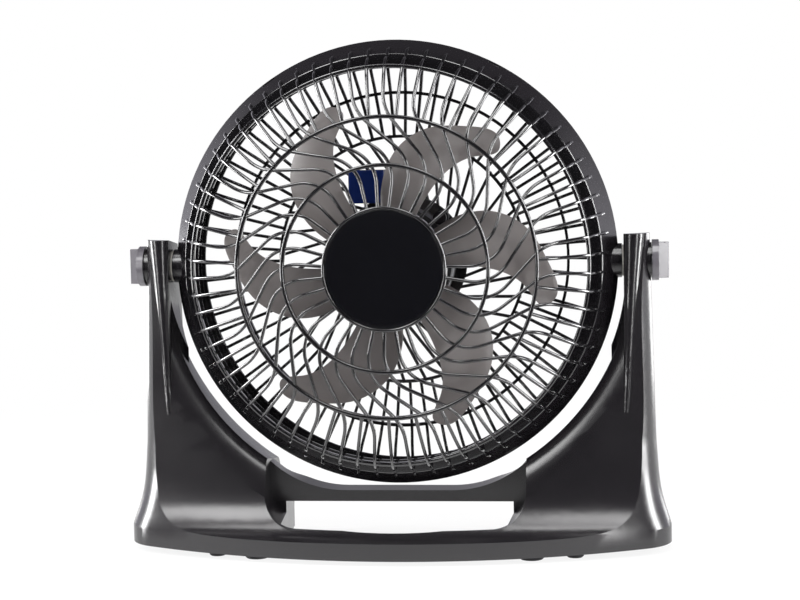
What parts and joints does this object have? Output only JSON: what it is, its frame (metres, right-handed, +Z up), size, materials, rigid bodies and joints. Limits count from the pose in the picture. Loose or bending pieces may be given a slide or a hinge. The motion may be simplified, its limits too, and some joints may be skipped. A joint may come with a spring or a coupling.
{
  "type": "floor fan",
  "caption": "Round floor fan in a moulded yoke base with a carry handle: domed grille, broad-bladed impeller, head that tilts between two clamp knobs.",
  "frame": {"origin": "centre of the outline on the floor, under the feet", "axes": "+X to the right across both arms, -Y to the front where the air leaves, +Z up"},
  "size_m": [0.402, 0.156, 0.3753],
  "materials": {
    "shell_plastic": "satin moulded black plastic",
    "grille_plastic": "satin moulded black plastic",
    "disc_plastic": "gloss black plastic",
    "blade_plastic": "satin grey-brown plastic",
    "knob_plastic": "satin black plastic",
    "foot_rubber": "matt black rubber",
    "steel": "plain steel",
    "motor_metal": "dark painted steel",
    "laminations": "stacked sheet steel",
    "copper": "varnished copper wire",
    "brass_insert": "turned brass",
    "capacitor_plastic": "blue plastic case",
    "washer_plastic": "natural nylon",
    "switch_plastic": "moulded plastic"
  },
  "bodies": {
    "base": {"base_shell": "shell_plastic", "front_feet": "foot_rubber", "rear_feet": "foot_rubber", "front_studs": "foot_rubber", "pivot_washer_left": "washer_plastic", "pivot_washer_right": "washer_plastic"},
    "head": {"rear_housing": "shell_plastic", "front_grille": "grille_plastic", "hub_disc": "disc_plastic", "rear_grille": "grille_plastic", "grille_screws": "steel", "motor_front_bracket": "motor_metal", "motor_rear_bracket": "motor_metal", "stator_core": "laminations", "stator_windings": "copper", "front_bearing": "steel", "rear_bearing": "steel", "motor_bolts": "steel", "motor_screws": "steel", "capacitor": "capacitor_plastic", "capacitor_clip": "motor_metal", "motor_cover": "shell_plastic", "cover_screws": "steel", "cable_gland": "switch_plastic", "speed_switch": "switch_plastic", "pivot_insert_left": "brass_insert", "pivot_insert_right": "brass_insert"},
    "fan": {"motor_shaft": "steel", "rotor_core": "laminations", "impeller": "blade_plastic", "drive_pin": "steel", "impeller_nut": "steel"},
    "speed_control": {"switch_spindle": "steel", "speed_knob": "knob_plastic"},
    "knob_left": {"tilt_knob_left": "knob_plastic", "clamp_stud_left": "steel"},
    "knob_right": {"tilt_knob_right": "knob_plastic", "clamp_stud_right": "steel"}
  },
  "joints": [
    {"name": "head_tilt", "type": "hinge", "parent": "base", "child": "head", "pos_m": [0, 0, 0.211], "axis": [-1, 0, 0], "range_deg": [-15, 90]},
    {"name": "fan_spin", "type": "hinge", "parent": "head", "child": "fan", "pos_m": [0, 0, 0.211], "axis": [0, -1, 0], "continuous": true},
    {"name": "speed_knob_turn", "type": "hinge", "parent": "head", "child": "speed_control", "pos_m": [0, 0.07, 0.211], "axis": [0, 1, 0], "range_deg": [0, 135]},
    {"name": "knob_left_turn", "type": "hinge", "parent": "head", "child": "knob_left", "pos_m": [-0.19, 0, 0.211], "axis": [-1, 0, 0], "range_deg": [0, 180]},
    {"name": "knob_right_turn", "type": "hinge", "parent": "head", "child": "knob_right", "pos_m": [0.19, 0, 0.211], "axis": [1, 0, 0], "range_deg": [0, 180]}
  ]
}
